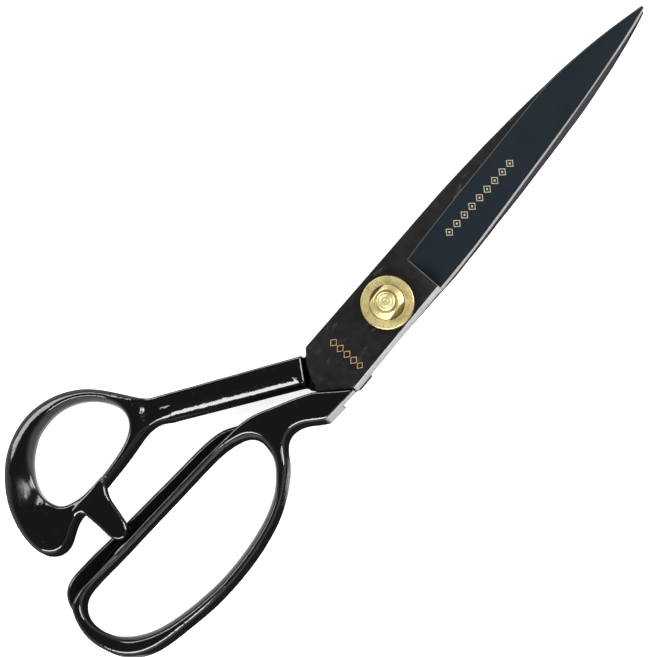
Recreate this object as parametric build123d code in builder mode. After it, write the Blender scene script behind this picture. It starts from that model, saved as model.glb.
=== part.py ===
# Fabric shears, 250 mm class: two blades, two cast bows and a pivot set of bolt, disc and nut.
# Millimetres, +Z up.  The origin is on the pivot axis, in the plane the closed shears rest on.
# +X runs along the blades to the tip, +Y across them towards the thumb bow.  The front blade
# lies above the shear plane and carries the finger bow; the back blade lies below it.
import os
from build123d import *

os.makedirs("parts", exist_ok=True)

ON_BASE = (Align.CENTER, Align.CENTER, Align.MIN)
THROUGH = 60             # length of cutters that pass right through
CLEAR = 6                # height of cutters that only have to clear the top

# ---------------------------------------------------------------- levels
SHEAR_Z = 6.5            # plane the two halves slide on
GAP = 0.02               # half of the running gap between the plates
PLATE_T = 4.48           # thickness of each pivot plate
FRONT_BOT = SHEAR_Z + GAP
FRONT_TOP = FRONT_BOT + PLATE_T
BACK_TOP = SHEAR_Z - GAP
BACK_BOT = BACK_TOP - PLATE_T
BOW_TOP = 12.0           # top of the bows and their necks

# ---------------------------------------------------------------- blade sizes
RICASSO_X = 13.6         # where the plates end and the ground blades begin
BAND_H = 0.75            # height of the narrow band beside the cutting edge
BAND_MAX_SHARE = 0.45    # limit of the band height, as a share of the thickness
BEVEL_MID_SHARE = 0.53   # height of the bevel at mid width; 0.5 would be flat
EDGE_H = 0.05            # thickness left at the cutting edge

HOLLOW_X = 18            # hollow grind on the inner faces
HOLLOW_LENGTH = 62
HOLLOW_DEPTH = 0.16
HOLLOW_HALF_W = 4.2

TANG_T = 3.0             # tongue of each blade let into its cast bow
BACK_TANG_Z = BACK_TOP - TANG_T

# ---------------------------------------------------------------- pivot sizes
BOLT_HEAD_R = 7.0
BOLT_HEAD_H = BACK_BOT
BOLT_HEAD_CHAMFER = 0.5
NECK_AF = 7.6            # square hole in the back blade for the neck of the bolt
NECK_CLEAR = 0.04
NECK_SHORT = 0.1         # the square neck is this much shorter than the plate
NECK_CORE_R = 3.7        # round core joining the square neck to the shank
BOLT_SHANK_R = 4.0       # plain shank the front blade turns on
SHANK_SHORT = 0.3        # the shank stops this far below the front plate's top
BORE_CLEAR = 0.04
THREAD_R = 2.92          # M6 thread, drawn at its crest
THREAD_SUNK = 0.6        # the thread starts this far below the front plate's top
BOLT_END_Z = 15.9
BOLT_END_FILLET = 0.7

SPOT_R = 9.2             # shallow spot face under the disc
SPOT_D = 0.06
SEAT_GAP = 0.01          # gap under the disc and under the nut

DISC_R = 8.05
DISC_T = 1.6
DISC_FILLET = 0.35
DISC_RECESS_R = 5.35
DISC_RECESS_D = 0.8
DISC_THREAD_CLEAR = 0.06
DISC_Z = FRONT_TOP - SPOT_D + SEAT_GAP
RECESS_Z = DISC_Z + DISC_T - DISC_RECESS_D

NUT_R = 5.2
NUT_AF = 7.8             # across the two flats
NUT_TOP_R = 3.65
NUT_H = 3.0
NUT_CHAMFER_H = 0.75
NUT_COLLAR_H = 0.5       # full round left below the flats
NUT_THREAD_CLEAR = 0.03
NUT_Z = RECESS_Z + SEAT_GAP
FLAT_CUT_L = 20          # block that cuts each flat
FLAT_CUT_W = 8

# ---------------------------------------------------------------- bow sizes
RIM_FILLET = 1.0
OPENING_FLARE = 6        # degrees, from the waist of an opening to each face
OPENING_OVERRUN = 0.1
REBATE_OVERRUN = 1
FLANGE_BOT = 1.2
FLANGE_TOP = 5.6
SPUR_BOT = 6.1           # the spur rides above the finger bow's flange
SPUR_TOP = 10.9

# ---------------------------------------------------------------- blade tables
# Blade stations: x, spine y, bevel-top y, band-top y, edge y, thickness
FRONT_STATIONS = [
    (RICASSO_X, 10.12, 4.05, -8.25, -9.03, PLATE_T),
    (30, 10.17, 5.14, -7.77, -8.42, 4.4),
    (45, 9.91, 5.8, -6.64, -7.32, 4.1),
    (60, 9.2, 6.48, -5.46, -6.08, 3.6),
    (75, 8.25, 7.1, -4.22, -4.76, 3.05),
    (90, 6.77, 6.38, -2.7, -3.18, 2.45),
    (102, 4.87, 4.54, -1.2, -1.72, 1.96),
    (111, 2.99, 2.64, 0.16, -0.29, 1.55),
    (116.3, 1.42, 1.24, 1.14, 0.92, 1.22),
]
BACK_STATIONS = [
    (RICASSO_X, -8.38, -3.6, 8.55, 9.28, PLATE_T),
    (30, -8.14, -3.9, 8.15, 8.88, 4.4),
    (45, -7.47, -3.96, 7.34, 8.06, 4.1),
    (60, -6.68, -4.02, 6.4, 7.08, 3.6),
    (75, -5.73, -4.35, 5.4, 6.03, 3.05),
    (90, -4.23, -3.95, 4.05, 4.68, 2.45),
    (102, -2.49, -2.24, 2.74, 3.29, 1.96),
    (111, -0.71, -0.39, 1.85, 2.2, 1.55),
    (115.2, 0.34, 0.58, 1.26, 1.55, 1.3),
]

# All outlines below are x, y.
# Pivot plates; each heel corner is shared with the bow behind it
FRONT_HEEL = (-25.6, -9.75)
BACK_HEEL = (-25.2, 9.8)
FRONT_PLATE = [
    (RICASSO_X, 10.12), (-25.8, 10.12), (-27.5, 8.55), (-29.6, 6.35), (-31.0, 4.2),
    (-32.0, 1.9), (-32.4, 0.2), (-33.6, -1.4), FRONT_HEEL, (0.0, -9.05),
    (RICASSO_X, -8.70),
]
BACK_PLATE = [
    (RICASSO_X, -8.35), (-18.6, -8.15), (-19.6, -9.30), (-24.6, -9.40), (-27.2, -8.2),
    (-29.4, -6.1), (-30.9, -3.9), (-31.9, -1.6), (-32.3, 0.2), (-33.6, 1.9),
    BACK_HEEL, (0.0, 9.25), (RICASSO_X, 8.95),
]

# Tongues of the blades inside the cast necks
FRONT_TANG = [(-28.4, -3.6), (-42.0, 2.2), (-45.6, 1.0), (-44.6, -2.0), (-31.4, -7.4)]
BACK_TANG = [(-27.0, 5.6), (-31.2, 2.6), (-45.4, 12.6), (-44.6, 16.4), (-41.6, 16.4)]

# ---------------------------------------------------------------- finger bow tables
# From the shoulder under the neck, round the ring and back along the raised rib
# to the top of the neck
FINGER_OUT = [
    (-38.4, -9.0), (-40.44, -7.31), (-42.45, -5.43), (-44.76, -3.81), (-46.99, -3.06),
    (-49.25, -3.1), (-51.59, -4.29), (-55.34, -8.34), (-59.59, -11.67), (-64.12, -14.34),
    (-70.05, -16.82), (-77.04, -18.47), (-85.01, -19.55), (-94.0, -19.77), (-104.0, -19.07),
    (-112.51, -17.61), (-120.3, -15.9), (-126.5, -13.1), (-130.6, -8.9), (-132.8, -3.7),
    (-133.5, 1.2), (-132.9, 5.6), (-131.5, 9.3), (-129.4, 12.2), (-125.4, 13.4),
    (-120.0, 13.3), (-110.0, 12.8), (-100.0, 12.4), (-90.0, 12.0), (-80.0, 11.6),
    (-70.0, 11.1), (-61.0, 10.5), (-55.0, 9.7), (-50.53, 8.24), (-44.95, 5.4),
    (-39.13, 2.33), (-34.8, -0.3),
]
FINGER_HOLE = [
    (-57.35, 5.33), (-55.95, 2.61), (-55.99, -0.34), (-57.27, -4.18), (-59.95, -7.56),
    (-64.48, -10.81), (-69.78, -13.14), (-76.2, -14.82), (-84.02, -15.81), (-94.1, -16.05),
    (-102.52, -15.15), (-111.95, -13.21), (-118.85, -10.72), (-124.11, -7.11), (-127.75, -2.58),
    (-129.19, 2.38), (-128.59, 7.32), (-125.42, 10.82), (-120.03, 11.55), (-109.99, 10.9),
    (-97.99, 10.44), (-85.98, 9.96), (-73.96, 9.49), (-64.55, 8.6), (-60.04, 7.15),
]
# Free edge of the low flange, then the line that closes it inside the rib
FLANGE_OUT = [
    (-53.3, 9.8), (-56.5, 11.3), (-59.9, 13.4), (-65.0, 14.95), (-75.0, 15.9),
    (-90.0, 16.9), (-100.0, 17.55), (-107.0, 18.05), (-115.0, 18.75), (-120.0, 19.0),
    (-125.0, 18.75), (-128.0, 17.2), (-129.9, 14.6), (-130.8, 11.2),
]
FLANGE_ROOT = [(-128.6, 11.2), (-120.0, 12.0), (-70.0, 10.0), (-57.0, 8.6)]
NECK_REBATE = [
    (-20, 12), (-31.0, 12), (-34.6, 4.0), (-34.6, -1.6), (-33.0, -5.2), (-29.4, -12.0),
    (-20, -12),
]

# ---------------------------------------------------------------- thumb bow tables
# Pivot end of the shank, at its upper (+Y) and lower edges
SHANK_UPPER_END = (-28.6, 9.5)
SHANK_LOWER_END = (-34.4, 2.5)
SHANK_FOOT = [SHANK_UPPER_END, BACK_HEEL, (-34.6, 1.9), SHANK_LOWER_END]

# From the upper edge of the shank round the ring to the spur
THUMB_TOP = [
    (-68.26, 36.53), (-70.13, 39.24), (-72.44, 43.58), (-75.67, 49.35), (-79.58, 54.21),
    (-84.32, 57.84), (-89.53, 60.16), (-95.59, 61.21), (-101.72, 60.66), (-108.84, 58.0),
    (-114.69, 53.52), (-119.33, 47.95), (-122.41, 41.79), (-124.01, 35.04), (-123.37, 29.23),
    (-120.45, 26.24), (-117.21, 25.71), (-113.8, 26.87), (-109.36, 28.61),
]
# From the spur back to the lower edge of the shank
THUMB_LOW = [
    (-98.0, 29.1), (-93.0, 29.25), (-87.0, 29.5), (-81.0, 30.05), (-75.6, 30.3),
    (-71.5, 29.2), (-68.6, 26.65),
]
THUMB_HOLE = [
    (-80.95, 50.4), (-78.48, 47.36), (-76.82, 44.12), (-75.99, 40.97), (-76.43, 37.88),
    (-78.32, 35.24), (-81.26, 33.54), (-84.79, 32.53), (-89.59, 31.89), (-95.4, 31.52),
    (-101.04, 31.73), (-105.99, 32.92), (-109.16, 34.66), (-110.63, 37.77), (-110.83, 41.54),
    (-109.57, 45.12), (-107.36, 48.22), (-104.66, 50.94), (-101.51, 53.1), (-97.99, 54.7),
    (-94.33, 55.2), (-90.53, 55.11), (-86.96, 54.21), (-83.71, 52.59),
]
# Free edge of the stop spur, then the line that closes it inside the ring
SPUR_OUT = [
    THUMB_TOP[-1], (-106.9, 28.3), (-106.5, 26.0), (-106.5, 21.0), (-106.6, 17.4),
    (-105.8, 14.8), (-103.8, 13.65), (-101.5, 14.6), (-100.1, 17.4), (-98.9, 22.0),
    (-97.4, 26.6), (-96.0, 28.8),
]
SPUR_ROOT = [(-96.2, 31.2), (-108.2, 31.2)]


# ---------------------------------------------------------------- helpers
# These act on the BuildPart block that calls them.
def cross_plane(x, z):
    """Plane across the blades at x, with local axes along Y and Z."""
    return Plane(origin=(x, 0, z), x_dir=(0, 1, 0), z_dir=(1, 0, 0))


def prism(outline, bottom, height, mode=Mode.ADD):
    """Extrude a straight-sided outline upwards from the level `bottom`."""
    with BuildSketch(Plane.XY.offset(bottom)) as profile:
        with BuildLine():
            Polyline(*outline, close=True)
        make_face()
    extrude(profile.sketch, amount=height, mode=mode)


def lobe(free_edge, root, bottom, top):
    """Extrude a lobe with a curved free edge, closed by straight lines at its root."""
    with BuildSketch(Plane.XY.offset(bottom)) as profile:
        with BuildLine():
            Spline(*free_edge)
            Polyline(free_edge[-1], *root, free_edge[0])
        make_face()
    extrude(profile.sketch, amount=top - bottom)


def soften(edges, radius):
    """Round the edges, stepping the radius down."""
    for r in (radius, 0.7 * radius, 0.45 * radius):
        # Guards against a fillet that fails where the outline is too tight;
        # if every radius fails the edges stay sharp.
        try:
            return fillet(edges, r)
        except ValueError:
            continue


def soften_rims(bow):
    """Round the curved edges of a bow, top face first and then the bottom."""
    for level in (-1, 0):
        rim = bow.edges().filter_by(GeomType.BSPLINE)
        soften(rim.group_by(Axis.Z)[level], RIM_FILLET)


def cut_opening(outline):
    """Cut a bow's opening, flared from its waist at mid height towards both faces."""
    for way in (1, -1):
        # The plane facing down has its local y reversed, hence way * y.
        waist = Plane(origin=(0, 0, BOW_TOP / 2), z_dir=(0, 0, way), x_dir=(1, 0, 0))
        with BuildSketch(waist) as profile:
            with BuildLine():
                Spline(*[(x, way * y) for x, y in outline], periodic=True)
            make_face()
        extrude(
            profile.sketch,
            amount=BOW_TOP / 2 + OPENING_OVERRUN,
            taper=-OPENING_FLARE,
            mode=Mode.SUBTRACT,
        )


# ---------------------------------------------------------------- blades
def blade_section(side, spine, bevel, band, edge, thickness):
    """Section (y, height) from the inner face; side is +1 above the shear plane, -1 below."""
    band_h = min(BAND_H, BAND_MAX_SHARE * thickness)
    bevel_mid_h = band_h + BEVEL_MID_SHARE * (thickness - band_h)
    return [
        (edge, 0),
        (spine, 0),
        (spine, side * thickness),
        (bevel, side * thickness),
        (0.5 * (bevel + band), side * bevel_mid_h),
        (band, side * band_h),
        (edge, side * EDGE_H),
    ]


def blade(side, stations, plate, tang):
    is_front = side > 0
    inner_z = FRONT_BOT if is_front else BACK_TOP
    with BuildPart() as body:
        for x, *profile in stations:
            with BuildSketch(cross_plane(x, inner_z)):
                with BuildLine():
                    Polyline(*blade_section(side, *profile), close=True)
                make_face()
        loft()
        prism(plate, FRONT_BOT if is_front else BACK_BOT, PLATE_T)
        prism(tang, FRONT_BOT if is_front else BACK_TANG_Z, TANG_T)
        # shallow hollow along the inner face
        with BuildSketch(cross_plane(HOLLOW_X, inner_z)):
            with BuildLine():
                ThreePointArc((-HOLLOW_HALF_W, 0), (0, side * HOLLOW_DEPTH), (HOLLOW_HALF_W, 0))
                Line((HOLLOW_HALF_W, 0), (-HOLLOW_HALF_W, 0))
            make_face()
        extrude(amount=HOLLOW_LENGTH, mode=Mode.SUBTRACT)
        if is_front:
            # round bore for the shank, spot face for the disc
            Cylinder(BOLT_SHANK_R + BORE_CLEAR, THROUGH, mode=Mode.SUBTRACT)
            with Locations((0, 0, FRONT_TOP - SPOT_D)):
                Cylinder(SPOT_R, CLEAR, align=ON_BASE, mode=Mode.SUBTRACT)
        else:
            # square hole for the keyed neck of the bolt
            Box(NECK_AF, NECK_AF, THROUGH, mode=Mode.SUBTRACT)
    return body.part


# ---------------------------------------------------------------- bows
def finger_bow():
    with BuildPart() as bow:
        with BuildSketch(Plane.XY):
            with BuildLine():
                Line(FINGER_OUT[-1], FRONT_HEEL)
                Line(FRONT_HEEL, FINGER_OUT[0])
                Spline(*FINGER_OUT)
            make_face()
        extrude(amount=BOW_TOP)
        soften_rims(bow)
        # low flange the thumb bow's spur passes over
        lobe(FLANGE_OUT, FLANGE_ROOT, FLANGE_BOT, FLANGE_TOP)
        cut_opening(FINGER_HOLE)
        # room for the back plate under the neck
        prism(NECK_REBATE, -REBATE_OVERRUN, FRONT_BOT + REBATE_OVERRUN, Mode.SUBTRACT)
        # pocket for the front blade's tongue
        prism(FRONT_TANG, FRONT_BOT, TANG_T, Mode.SUBTRACT)
    return bow.part


def thumb_bow():
    with BuildPart() as bow:
        with BuildSketch(Plane.XY):
            with BuildLine():
                Line(SHANK_LOWER_END, SHANK_UPPER_END)
                Line(SHANK_UPPER_END, THUMB_TOP[0])
                Spline(*THUMB_TOP)
                Line(THUMB_TOP[-1], THUMB_LOW[0])
                Spline(*THUMB_LOW)
                Line(THUMB_LOW[-1], SHANK_LOWER_END)
            make_face()
        extrude(amount=BOW_TOP)
        soften_rims(bow)
        # stop spur, above the finger bow's flange
        lobe(SPUR_OUT, SPUR_ROOT, SPUR_BOT, SPUR_TOP)
        cut_opening(THUMB_HOLE)
        # foot of the shank, level with the back plate
        prism(SHANK_FOOT, BACK_BOT, PLATE_T)
        # pocket for the back blade's tongue
        prism(BACK_TANG, BACK_TANG_Z, TANG_T, Mode.SUBTRACT)
    return bow.part


# ---------------------------------------------------------------- pivot set
def pivot_bolt():
    neck_width = NECK_AF - NECK_CLEAR
    thread_z = FRONT_TOP - THREAD_SUNK
    with BuildPart() as bolt:
        Cylinder(BOLT_HEAD_R, BOLT_HEAD_H, align=ON_BASE)
        chamfer(bolt.edges().group_by(Axis.Z)[0], BOLT_HEAD_CHAMFER)
        with Locations((0, 0, BOLT_HEAD_H)):
            Box(neck_width, neck_width, PLATE_T - NECK_SHORT, align=ON_BASE)
            Cylinder(NECK_CORE_R, SHEAR_Z - BOLT_HEAD_H, align=ON_BASE)
        with Locations((0, 0, SHEAR_Z)):
            Cylinder(BOLT_SHANK_R, FRONT_TOP - SHEAR_Z - SHANK_SHORT, align=ON_BASE)
        with Locations((0, 0, thread_z)):
            Cylinder(THREAD_R, BOLT_END_Z - thread_z, align=ON_BASE)
        fillet(bolt.edges().group_by(Axis.Z)[-1], BOLT_END_FILLET)
    return bolt.part


def pivot_disc():
    with BuildPart() as disc:
        with Locations((0, 0, DISC_Z)):
            Cylinder(DISC_R, DISC_T, align=ON_BASE)
        fillet(disc.edges().group_by(Axis.Z)[-1], DISC_FILLET)
        with Locations((0, 0, RECESS_Z)):
            Cylinder(DISC_RECESS_R, CLEAR, align=ON_BASE, mode=Mode.SUBTRACT)
        Cylinder(THREAD_R + DISC_THREAD_CLEAR, THROUGH, mode=Mode.SUBTRACT)
    return disc.part


def pivot_nut():
    flat_cut_y = (NUT_AF + FLAT_CUT_W) / 2
    with BuildPart() as nut:
        with Locations((0, 0, NUT_Z)):
            Cylinder(NUT_R, NUT_H, align=ON_BASE)
        chamfer(nut.edges().group_by(Axis.Z)[-1], NUT_CHAMFER_H, NUT_R - NUT_TOP_R)
        # two flats
        with BuildSketch(Plane.XY.offset(NUT_Z + NUT_COLLAR_H)):
            with Locations((0, flat_cut_y), (0, -flat_cut_y)):
                Rectangle(FLAT_CUT_L, FLAT_CUT_W)
        extrude(amount=CLEAR, mode=Mode.SUBTRACT)
        Cylinder(THREAD_R + NUT_THREAD_CLEAR, THROUGH, mode=Mode.SUBTRACT)
    return nut.part


# ---------------------------------------------------------------- files
pieces = {
    "front_blade": blade(1, FRONT_STATIONS, FRONT_PLATE, FRONT_TANG),
    "back_blade": blade(-1, BACK_STATIONS, BACK_PLATE, BACK_TANG),
    "finger_bow": finger_bow(),
    "thumb_bow": thumb_bow(),
    "pivot_bolt": pivot_bolt(),
    "pivot_disc": pivot_disc(),
    "pivot_nut": pivot_nut(),
}
for name, piece in pieces.items():
    piece.label = name
    export_step(piece, f"parts/{name}.step")
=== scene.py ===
"""A pair of shears lying flat on white paper.

The pivot axis is Z through the origin, the blades point along +X and the bows (the
handle rings) lie towards -X, the finger bow round y = 0 and the thumb bow at +Y.
The front half (front blade and finger bow) has its blade above the plane
z = SHEAR_Z, the back half (back blade and thumb bow) has its blade below it.
Shapes are given in millimetres; materials, camera and lights work in metres.
"""
import math

import bmesh
import bpy
import numpy as np
from mathutils import Matrix, Vector


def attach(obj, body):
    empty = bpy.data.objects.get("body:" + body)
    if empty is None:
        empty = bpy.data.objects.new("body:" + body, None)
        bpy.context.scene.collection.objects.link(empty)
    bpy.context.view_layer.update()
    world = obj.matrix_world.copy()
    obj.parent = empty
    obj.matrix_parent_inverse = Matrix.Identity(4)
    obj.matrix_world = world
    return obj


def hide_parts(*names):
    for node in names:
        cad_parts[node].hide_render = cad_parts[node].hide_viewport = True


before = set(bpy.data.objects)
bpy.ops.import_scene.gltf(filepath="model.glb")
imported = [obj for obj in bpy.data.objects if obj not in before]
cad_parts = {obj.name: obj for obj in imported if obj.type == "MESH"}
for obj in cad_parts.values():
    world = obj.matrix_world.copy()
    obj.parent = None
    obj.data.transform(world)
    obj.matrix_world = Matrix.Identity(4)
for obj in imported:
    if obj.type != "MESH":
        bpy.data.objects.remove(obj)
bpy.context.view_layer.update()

MM = 0.001
GRID_STEP = 0.34   # grid spacing of the cast bows
CURVE_STEP = 0.35                         # spacing of points along a bow outline

SHEAR_Z = 6.5            # plane in which the two blades meet
FACE_GAP = 0.02          # each inner face stands this far off that plane
BOW_HEIGHT = 12.0
FRONT_PLATE_TOP = 11.0
BACK_PLATE_BOTTOM = 2.0
BORE_RADIUS = 4.04       # round hole in the front plate
SQUARE_HOLE_HALF = 3.8   # square hole in the back plate
KEY_HALF = 3.78          # square part of the bolt in that hole
BOLT_THREAD_RADIUS = 2.92

# Placeholder materials that mark the areas of a blade until the real ones replace them
OXIDE, BEVEL, GROUND, STRIP, INNER, LINE = range(6)
LAYERS = [bpy.data.materials.new("layer_%d" % i) for i in range(6)]


def add_object(name, data):
    obj = bpy.data.objects.new(name, data)
    bpy.context.scene.collection.objects.link(obj)
    return obj


def layered_mesh(name):
    mesh = bpy.data.meshes.new(name)
    for layer in LAYERS:
        mesh.materials.append(layer)
    return mesh


# ------------------------------------------------------------------ curves
def spline(points, closed=False):
    """Natural or closed cubic spline through the points, by chord length."""
    p = np.array(points, float)
    if closed:
        p = np.vstack([p, p[:1]])
    chord = np.hypot(*np.diff(p, axis=0).T)
    count = len(p)
    system = np.zeros((count, count))
    rhs = np.zeros((count, 2))
    for i in range(1, count - 1):
        before, after = chord[i - 1], chord[i]
        system[i, i - 1:i + 2] = before, 2 * (before + after), after
        rhs[i] = 6 * ((p[i + 1] - p[i]) / after - (p[i] - p[i - 1]) / before)
    if closed:
        system[0, 0], system[0, -1] = 1, -1
        system[-1, 0], system[-1, 1] = 2 * chord[0], chord[0]
        system[-1, -2], system[-1, -1] = chord[-1], 2 * chord[-1]
        rhs[-1] = 6 * ((p[1] - p[0]) / chord[0] - (p[-1] - p[-2]) / chord[-1])
    else:
        system[0, 0] = system[-1, -1] = 1
    bend = np.linalg.solve(system, rhs)   # second derivatives at the points
    pieces = []
    for i, h in enumerate(chord):
        samples = max(2, int(math.ceil(h / CURVE_STEP)))
        s = np.linspace(0, 1, samples, endpoint=False)[:, None] * h
        rest = h - s
        pieces.append((bend[i] * rest ** 3 + bend[i + 1] * s ** 3) / (6 * h)
                      + (p[i] / h - bend[i] * h / 6) * rest
                      + (p[i + 1] / h - bend[i + 1] * h / 6) * s)
    if not closed:
        pieces.append(p[-1:])
    return np.vstack(pieces)


def outline(runs):
    """Closed polygon from (points, corner sizes) runs, and the smoothed corner size
    at each of its points. A run of two points is straight."""
    points, sizes = [], []
    for run, size in runs:
        if len(run) == 2:
            length = math.hypot(run[1][0] - run[0][0], run[1][1] - run[0][1])
            samples = max(2, int(length / CURVE_STEP))
            line = np.linspace(run[0], run[1], samples, endpoint=False)
        else:
            line = spline(run)[:-1]
        size = np.atleast_2d(np.array(size, float))
        at = np.linspace(0, 1, len(line))
        knots = np.linspace(0, 1, len(size))
        sizes.append(np.stack([np.interp(at, knots, column) for column in size.T], 1))
        points.append(line)
    width = 9
    kernel = np.hanning(width + 2)[1:-1]
    kernel /= kernel.sum()
    smoothed = [np.convolve(np.r_[column[-width:], column, column[:width]], kernel, "same")
                [width:-width] for column in np.vstack(sizes).T]
    return np.vstack(points), np.stack(smoothed, 1)


def polygon_distance(x, y, polygon, values=None):
    """Distance to a closed polygon, positive inside; with values given at its
    points, also the values at the nearest place on its line."""
    flat_x, flat_y = x.ravel(), y.ravel()
    nearest = np.full(flat_x.shape, 1e9)
    inside = np.zeros(flat_x.shape, bool)
    picked = None if values is None else np.zeros((flat_x.size, values.shape[1]))
    for i, ((x0, y0), (x1, y1)) in enumerate(zip(polygon, np.roll(polygon, -1, axis=0))):
        dx, dy = x1 - x0, y1 - y0
        length2 = dx * dx + dy * dy
        if length2 < 1e-12:
            continue
        t = np.clip(((flat_x - x0) * dx + (flat_y - y0) * dy) / length2, 0, 1)
        off_x, off_y = flat_x - x0 - t * dx, flat_y - y0 - t * dy
        distance2 = off_x * off_x + off_y * off_y
        nearer = distance2 < nearest
        nearest = np.where(nearer, distance2, nearest)
        if values is not None:
            w = t[nearer][:, None]
            picked[nearer] = values[i] * (1 - w) + values[(i + 1) % len(values)] * w
        if dy != 0:
            spans = (y0 > flat_y) != (y1 > flat_y)
            inside ^= spans & (flat_x < x0 + (flat_y - y0) * dx / dy)
    distance = np.sqrt(nearest)
    distance = np.where(inside, distance, -distance).reshape(x.shape)
    if values is None:
        return distance
    return distance, picked.reshape(x.shape + (values.shape[1],))


def line_distance(x, y, start, end):
    """Signed distance to a line, positive on the left going from start to end."""
    dx, dy = end[0] - start[0], end[1] - start[1]
    return ((y - start[1]) * dx - (x - start[0]) * dy) / math.hypot(dx, dy)


# ------------------------------------------------------------------ fields, negative inside
def smooth_step(start, end, value):
    t = np.clip((value - start) / (end - start), 0, 1)
    return t * t * (3 - 2 * t)


def smooth_min(a, b, blend):
    h = np.clip(0.5 + 0.5 * (b - a) / blend, 0, 1)
    return b + (a - b) * h - blend * h * (1 - h)


def smooth_max(a, b, blend):
    return -smooth_min(-a, -b, blend)


def rounded_wall(distance, z, width, depth, height, power=2.0):
    """A wall (solid where distance > 0) under a plane at the given height, joined by
    an elliptical corner of that width and depth."""
    u = (width - distance) / width
    v = (z - (height - depth)) / depth
    curved = (np.maximum(u, 0) ** power + np.maximum(v, 0) ** power) ** (1.0 / power)
    return (curved + np.minimum(np.maximum(u, v), 0) - 1) * np.minimum(width, depth)


def flat_part(distance, z, middle, half, width, depth):
    """A flat part of a bow round z = middle, with even corners."""
    return rounded_wall(distance[..., None], np.abs(z - middle)[None, None, :],
                        width, depth, half)


def bow_bar(distance, sizes, z, power=2.0):
    """The full height of a bow, its corner size changing along the outline."""
    width, depth = sizes[..., 0][..., None], sizes[..., 1][..., None]
    half = BOW_HEIGHT / 2
    above = np.abs(z[None, None, :] - half)
    return rounded_wall(distance[..., None], above, width, depth, half, power)


def cast_lumps(x, y):
    """Broad, very shallow unevenness of a casting."""
    waves = (   # wave numbers in x and y, phase, weight
        (0.31, 0.17, 0.4, 1.0), (-0.23, 0.41, 1.9, 0.8),
        (0.55, -0.37, 4.1, 0.5), (0.13, 0.63, 2.2, 0.6))
    total = np.zeros_like(x)
    for wave_x, wave_y, phase, weight in waves:
        total += weight * np.sin(wave_x * x + wave_y * y + phase)
    return 0.035 * (total / 2.9)[..., None]


def grid(low, high):
    """Plan coordinates x, y as 2-D arrays and the heights z."""
    x, y, z = (a + GRID_STEP * np.arange(int(math.ceil((b - a) / GRID_STEP)) + 1)
               for a, b in zip(low, high))
    return (*np.meshgrid(x, y, indexing="ij"), z)


def surface(field, x, y, z, name):
    """Closed quad mesh round field < 0 (surface nets)."""
    negative = field < 0
    shape = tuple(n - 1 for n in field.shape)
    total = np.zeros(shape + (3,))
    crossings = np.zeros(shape)
    # one vertex per crossed cell, at the mean of the crossings on its edges
    for start in np.ndindex(2, 2, 2):
        for axis in range(3):
            if start[axis]:
                continue
            end = list(start)
            end[axis] = 1
            f0, f1 = (field[tuple(slice(c, c + n) for c, n in zip(corner, shape))]
                      for corner in (start, end))
            crossed = (f0 < 0) != (f1 < 0)
            t = np.where(crossed, f0 / np.where(crossed, f0 - f1, 1), 0)
            for q in range(3):
                total[..., q] += np.where(crossed, start[q] + (t if q == axis else 0), 0)
            crossings += crossed
    used = crossings > 0
    index = np.full(shape, -1)
    index[used] = np.arange(used.sum())
    verts = np.argwhere(used) + total[used] / crossings[used][:, None]
    verts = verts * GRID_STEP + np.array([x[0, 0], y[0, 0], z[0]])
    # one quad per crossed grid edge, between the four cells round it
    faces = []
    for axis, (first, second) in enumerate(((1, 2), (2, 0), (0, 1))):
        lower = [slice(1, -1)] * 3
        upper = list(lower)
        lower[axis], upper[axis] = slice(0, -1), slice(1, None)
        a, b = negative[tuple(lower)], negative[tuple(upper)]
        for mask, order in ((a & ~b, 1), (~a & b, -1)):
            quad = []
            for d1, d2 in ((0, 0), (1, 0), (1, 1), (0, 1)):
                cell = np.argwhere(mask)
                cell[:, first] += d1
                cell[:, second] += d2
                quad.append(index[tuple(cell.T)])
            faces.append(np.stack(quad, 1)[:, ::order])
    faces = np.vstack(faces)
    # a little Taubin smoothing takes the grid's terracing away
    edges = np.vstack([faces[:, [0, 1]], faces[:, [1, 2]], faces[:, [2, 3]], faces[:, [3, 0]]])
    count = len(verts)
    degree = np.bincount(edges.ravel(), minlength=count).astype(float)
    for amount in (0.5, -0.52) * 4:
        mean = np.zeros_like(verts)
        for q in range(3):
            mean[:, q] = (np.bincount(edges[:, 0], verts[edges[:, 1], q], count)
                          + np.bincount(edges[:, 1], verts[edges[:, 0], q], count)) / degree
        verts = verts + amount * (mean - verts)
    mesh = bpy.data.meshes.new(name)
    mesh.vertices.add(count)
    mesh.vertices.foreach_set("co", (verts * MM).astype(np.float32).ravel())
    mesh.loops.add(faces.size)
    mesh.loops.foreach_set("vertex_index", faces.ravel().astype(np.int32))
    mesh.polygons.add(len(faces))
    mesh.polygons.foreach_set("loop_start", (np.arange(len(faces)) * 4).astype(np.int32))
    mesh.update(calc_edges=True)
    mesh.validate()
    mesh.polygons.foreach_set("use_smooth", np.ones(len(mesh.polygons), bool))
    return add_object(name, mesh)


# ------------------------------------------------------------------ finger bow
# Outlines are x, y in mm.
FINGER_HOLE = [
    (-57.35, 5.33), (-55.95, 2.61), (-55.99, -0.34), (-57.27, -4.18), (-59.95, -7.56),
    (-64.48, -10.81), (-69.78, -13.14), (-76.20, -14.82), (-84.02, -15.81), (-94.10, -16.05),
    (-102.52, -15.15), (-111.95, -13.21), (-118.85, -10.72), (-124.11, -7.11), (-127.75, -2.58),
    (-129.19, 2.38), (-128.59, 7.32), (-125.42, 10.82), (-120.03, 11.55), (-109.99, 10.90),
    (-97.99, 10.44), (-85.98, 9.96), (-73.96, 9.49), (-64.55, 8.60), (-60.04, 7.15),
]
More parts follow.
